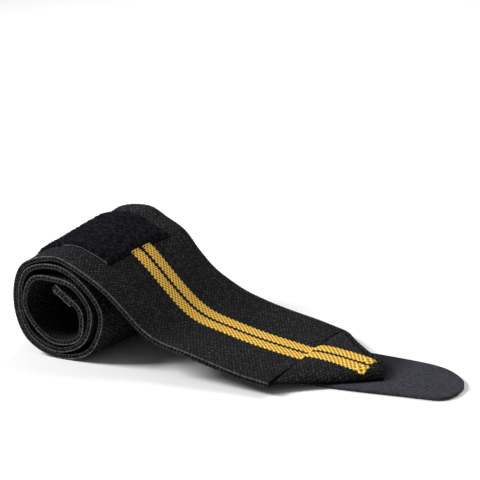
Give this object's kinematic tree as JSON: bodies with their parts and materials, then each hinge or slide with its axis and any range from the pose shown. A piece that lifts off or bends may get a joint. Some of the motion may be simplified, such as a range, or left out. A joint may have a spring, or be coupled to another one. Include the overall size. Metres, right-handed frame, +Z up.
{
  "type": "elastic wrist wrap",
  "caption": "Woven elastic wrist support band with hook-and-loop fastening, partly rolled up, with a tapered tip, a fastening tongue and a tape thumb loop.",
  "frame": {"origin": "middle of the footprint, on the surface that the wrap lies on", "axes": "+X along the band from the roll towards the fastening tongue, +Y across the band towards the edge with the thumb loop, +Z up"},
  "size_m": [0.1872, 0.1218, 0.0489],
  "materials": {
    "woven_elastic": "matt woven elastic, charcoal black",
    "stripe_yarn": "woven yellow-orange yarn",
    "loop_fleece": "fuzzy loop pile, black",
    "tongue_cloth": "smooth brushed backing, dark slate",
    "tape": "smooth narrow tape, dark"
  },
  "bodies": {
    "root": {"elastic_band": "woven_elastic", "stripe_near": "stripe_yarn", "stripe_far": "stripe_yarn", "loop_patch": "loop_fleece", "hook_tongue": "tongue_cloth", "thumb_loop": "tape"}
  },
  "joints": []
}
